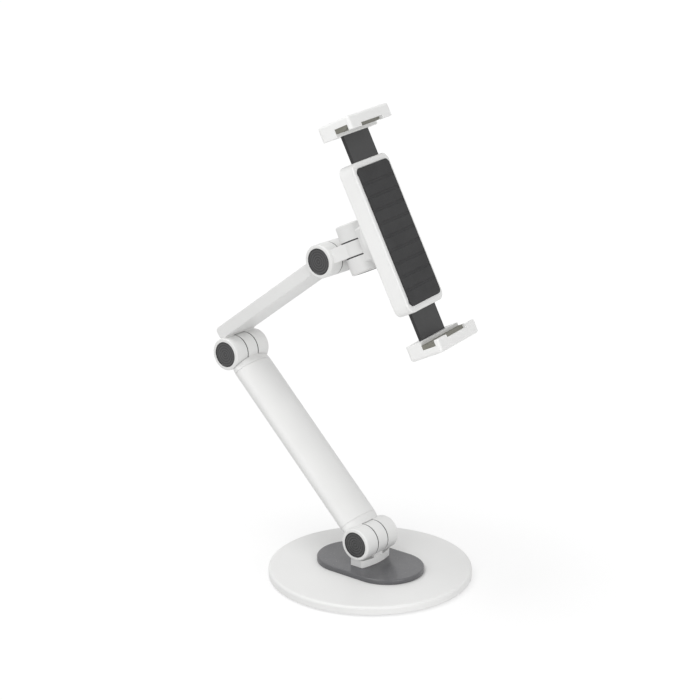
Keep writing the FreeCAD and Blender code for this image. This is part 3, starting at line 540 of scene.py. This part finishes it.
hinges = {
    "base_hinge": (lowerPlace, "lower_arm_body"),
    "elbow": (upperPlace, "upper_arm_body"),
    "tilt": (headPlace, "head"),
    "swing": (swingPlace @ acrossToUp, "hub"),
}

for hingeName, (hingePlace, hingeBody) in hinges.items():
    makeEndCaps(cap, hingeName, hingePlace, hingeBody)
print("caps made")


# rubber pads of the holder, and the screws that show on it

frontPad = {
    "halfWidth": 24.0,
    "halfHeight": 57.0,
    "front": 7.7,
    "back": 9.2,
    "corner": 4.0,
    "cornerSteps": 8,
    "rimRound": 0.5,
    "grooves": 9,
    "groovePitch": 11.0,
    "grooveWidth": 2.6,
    "grooveMargin": 0.6,     # how much of the width stays as the groove's slanted walls
    "grooveDepth": 0.5,
}


def makeFrontPad(p):
    work = bmesh.new()
    verts = []
    for quarter, (across, up) in enumerate(((1, 1), (-1, 1), (-1, -1), (1, -1))):
        for k in range(p["cornerSteps"] + 1):
            angle = pi / 2 * (quarter + k / p["cornerSteps"])
            x = across * (p["halfWidth"] - p["corner"]) + p["corner"] * cos(angle)
            z = up * (p["halfHeight"] - p["corner"]) + p["corner"] * sin(angle)
            verts.append(work.verts.new((x, p["back"], z)))
    work.faces.new(verts)
    raisedFace(work, (0, p["front"] - p["back"], 0))
    rim = edgesWhere(work, lambda edge: all(near(vert.co.y, p["front"]) for vert in edge.verts))
    roundOver(work, rim, p["rimRound"], 3)
    middles = [(k - (p["grooves"] - 1) / 2) * p["groovePitch"] for k in range(p["grooves"])]
    for middle in middles:
        for side in (-1, 1):
            everything = list(work.verts) + list(work.edges) + list(work.faces)
            bmesh.ops.bisect_plane(work, geom=everything, dist=meshing["weld"], plane_no=(0, 0, 1),
                                   plane_co=(0, 0, middle + side * p["grooveWidth"] / 2))
    for middle in middles:
        strips = [face for face in work.faces if near(face.calc_center_median().y, p["front"])
                  and near(face.calc_center_median().z, middle)]
        bmesh.ops.inset_region(work, faces=strips, thickness=p["grooveMargin"], depth=-p["grooveDepth"])
    finishPiece(work, "frontPad", holderPlace, "holder", "black_rubber", ["front_pad"])


jawPad = {
    "halfLength": 30.6,
    "face": 87.1,
    "roof": 90.9,
    "front": -2.95,
    "frontFace": 89.6,
    "flatStart": 2.25,
    "back": 9.25,
    "firstGroove": 1.02,     # from where the flat starts
    "grooveWidth": 0.9,
    "grooveDepth": 0.45,
    "groovePitch": 1.7,
    "grooves": 3,
}


def makeJawPad(p, name, place, body, node):
    # the wedge's outline, with grooves along its flat, drawn out along X
    outline = [(p["back"], p["roof"]), (p["front"], p["roof"]), (p["front"], p["frontFace"]),
               (p["flatStart"], p["face"])]
    for k in range(p["grooves"]):
        start = p["flatStart"] + p["firstGroove"] + p["groovePitch"] * k
        slant = p["grooveDepth"] / 2
        outline += [(start, p["face"]), (start + slant, p["face"] + p["grooveDepth"]),
                    (start + p["grooveWidth"] - slant, p["face"] + p["grooveDepth"]),
                    (start + p["grooveWidth"], p["face"])]
    outline.append((p["back"], p["face"]))
    work = bmesh.new()
    work.faces.new([work.verts.new((-p["halfLength"], y, z)) for y, z in outline])
    raisedFace(work, (2 * p["halfLength"], 0, 0))
    finishPiece(work, name, place, body, "olive_grey_rubber", [node])


ringScrew = {
    "circle": 21.6,
    "headBack": 28.35,
    "end": 21.0,
    "shank": 1.25,
    "head": 2.4,
    "headHeight": 1.15,
    "rimRound": 0.12,
    "socket": 0.87,
    "socketDepth": 0.8,
    "steps": 24,
}

jawScrew = {
    "spacing": 24.0,
    "height": 88.5,
    "headBack": 23.75,
    "end": 11.0,
    "shank": 1.5,
    "head": 2.8,
    "headHeight": 1.6,
    "rimRound": 0.25,
    "socket": 1.15,
    "socketDepth": 1.0,
    "steps": 24,
}


def screwProfile(s, countersunk):
    length = s["headBack"] - s["end"]
    under = s["shank"] if countersunk else s["head"]     # the head's radius where the shank starts
    return [(0, -s["socketDepth"]), (s["socket"], -s["socketDepth"]), (s["socket"], 0),
            (s["head"] - s["rimRound"], 0), (s["head"], -s["rimRound"]), (under, -s["headHeight"]),
            (s["shank"], -s["headHeight"]), (s["shank"], -length), (0, -length)]


def makeScrews(s, countersunk, spots, name, place, body, node):
    # screws whose heads lie towards the holder's back, each with a hexagon socket
    work = spun(screwProfile(s, countersunk), s["steps"], closed=False)
    for vert in work.verts:
        if near(hypot(vert.co.x, vert.co.y), s["socket"]):
            vert.co.xy *= cos(pi / 6) / cos(atan2(vert.co.y, vert.co.x) % (pi / 3) - pi / 6)
    oneScrew = bpy.data.meshes.new("oneScrew")
    work.to_mesh(oneScrew)
    work.free()
    group = bmesh.new()
    for x, z in spots:
        here = oneScrew.copy()
        here.transform(moved(x, s["headBack"], z) @ turned("X", -90))
        group.from_mesh(here)
    finishPiece(group, name, place, body, "zinc_plated_steel", [node])


makeFrontPad(frontPad)
makeJawPad(jawPad, "upperJawPad", holderPlace, "upper_jaw_body", "upper_jaw_pad")
makeJawPad(jawPad, "lowerJawPad", lowerJawPlace, "lower_jaw_body", "lower_jaw_pad")
ringSpots = [(ringScrew["circle"] * cos(pi / 4 + pi / 2 * k), ringScrew["circle"] * sin(pi / 4 + pi / 2 * k))
             for k in range(4)]
jawSpots = [(side * jawScrew["spacing"] / 2, jawScrew["height"]) for side in (-1, 1)]
makeScrews(ringScrew, True, ringSpots, "ringScrews", holderPlace, "holder", "ring_screws")
makeScrews(jawScrew, False, jawSpots, "upperJawScrews", holderPlace, "upper_jaw_body", "upper_jaw_screws")
makeScrews(jawScrew, False, jawSpots, "lowerJawScrews", lowerJawPlace, "lower_jaw_body", "lower_jaw_screws")
print("pads and screws made")


# camera, lamps, floor and background

view = {
    "from": (-1192.16, -946.09, 672.17),     # millimetres
    "to": (-10.51, 12.95, 193.79),
    "lens": 102.81,
    "sensor": 36.0,
}


def makeCamera(v):
    data = bpy.data.cameras.new("photoView")
    data.lens = v["lens"]
    data.sensor_width = v["sensor"]
    data.clip_start = 0.01
    data.clip_end = 50
    camera = bpy.data.objects.new("photoView", data)
    bpy.context.scene.collection.objects.link(camera)
    start = Vector(v["from"]) / 1000
    aim = Vector(v["to"]) / 1000 - start
    camera.matrix_world = Matrix.Translation(start) @ aim.to_track_quat("-Z", "Y").to_matrix().to_4x4()
    bpy.context.scene.camera = camera


studio = {
    "ambient": 0.56,
    "keyFrom": (-1.7, -0.3, 0.9),
    "keySize": 1.2,
    "keyPower": 6.0,
    "fillFrom": (-0.6, -1.8, 0.3),
    "fillSize": 1.2,
    "fillPower": 13.0,
    "topFrom": (-0.45, 0.6, 1.75),
    "topSize": 1.0,
    "topPower": 11.5,
    "aim": (0, 0.05, 0.15),
    "floorHalf": 4.0,
    "floorSeen": "#ffffff",
    "floorBounce": "#dedede",
    "floorShadow": 0.35,
    "shadowNear": 0.1,       # from the middle of the floor, metres: whole shadow inside, none outside
    "shadowFar": 0.3,
    "glow": 1.03,
}


def makeLamp(name, start, aim, size, power):
    data = bpy.data.lights.new(name, "AREA")
    data.shape = "DISK"
    data.size = size
    data.energy = power
    lamp = bpy.data.objects.new(name, data)
    bpy.context.scene.collection.objects.link(lamp)
    spot = Vector(start)
    toward = Vector(aim) - spot
    lamp.matrix_world = Matrix.Translation(spot) @ toward.to_track_quat("-Z", "Y").to_matrix().to_4x4()


def seenRays(tree):
    # 1 where the camera sees the surface, straight, by reflection or through glass
    path = addNode(tree, "ShaderNodeLightPath")
    straight = addNode(tree, "ShaderNodeMath", {"operation": "MAXIMUM"}, {}, {
        0: path.outputs["Is Camera Ray"], 1: path.outputs["Is Glossy Ray"]})
    either = addNode(tree, "ShaderNodeMath", {"operation": "MAXIMUM"}, {}, {
        0: straight.outputs["Value"], 1: path.outputs["Is Transmission Ray"]})
    return either.outputs["Value"]


def makeWorld(s):
    world = bpy.data.worlds.new("paleStudio")
    bpy.context.scene.world = world
    world.use_nodes = True
    tree = world.node_tree
    tree.nodes.clear()
    strength = addNode(tree, "ShaderNodeMapRange", {}, {
        "To Min": s["ambient"], "To Max": 1.0}, {"Value": seenRays(tree)})
    back = addNode(tree, "ShaderNodeBackground", {}, {
        "Color": linearColour("#ffffff")}, {"Strength": strength.outputs["Result"]})
    addNode(tree, "ShaderNodeOutputWorld", {}, {}, {"Surface": back.outputs["Background"]})


def makeFloor(s):
    work = bmesh.new()
    bmesh.ops.create_grid(work, x_segments=1, y_segments=1, size=s["floorHalf"])
    mesh = bpy.data.meshes.new("floor")
    work.to_mesh(mesh)
    work.free()
    material = bpy.data.materials.new("paleFloor")
    material.use_nodes = True
    tree = material.node_tree
    tree.nodes.clear()
    seen = seenRays(tree)
    tint = addNode(tree, "ShaderNodeMix", {"data_type": "RGBA"}, {
        6: linearColour(s["floorBounce"]), 7: linearColour(s["floorSeen"])}, {0: seen})   # 6 is A, 7 is B
    lit = addNode(tree, "ShaderNodeBsdfDiffuse", {}, {}, {"Color": tint.outputs[2]})
    glow = addNode(tree, "ShaderNodeEmission", {}, {"Color": linearColour("#ffffff"), "Strength": s["glow"]})
    place = addNode(tree, "ShaderNodeTexCoord").outputs["Object"]
    reach = addNode(tree, "ShaderNodeVectorMath", {"operation": "LENGTH"}, {}, {0: place})
    fade = addNode(tree, "ShaderNodeMapRange", {"interpolation_type": "SMOOTHSTEP"}, {
        "From Min": s["shadowNear"], "From Max": s["shadowFar"],
        "To Min": 1.0 - s["floorShadow"], "To Max": 1.0}, {"Value": reach.outputs["Value"]})
    share = addNode(tree, "ShaderNodeMath", {"operation": "MULTIPLY"}, {}, {
        0: fade.outputs["Result"], 1: seen})
    mixed = addNode(tree, "ShaderNodeMixShader", {}, {}, {
        0: share.outputs["Value"], 1: lit.outputs["BSDF"], 2: glow.outputs["Emission"]})
    addNode(tree, "ShaderNodeOutputMaterial", {}, {}, {"Surface": mixed.outputs["Shader"]})
    mesh.materials.append(material)
    floor = bpy.data.objects.new("floor", mesh)
    bpy.context.scene.collection.objects.link(floor)


makeCamera(view)
makeWorld(studio)
makeFloor(studio)
makeLamp("softKey", studio["keyFrom"], studio["aim"], studio["keySize"], studio["keyPower"])
makeLamp("broadFill", studio["fillFrom"], studio["aim"], studio["fillSize"], studio["fillPower"])
makeLamp("overhead", studio["topFrom"], studio["aim"], studio["topSize"], studio["topPower"])
bpy.context.scene.view_settings.view_transform = "Standard"
print("studio ready")
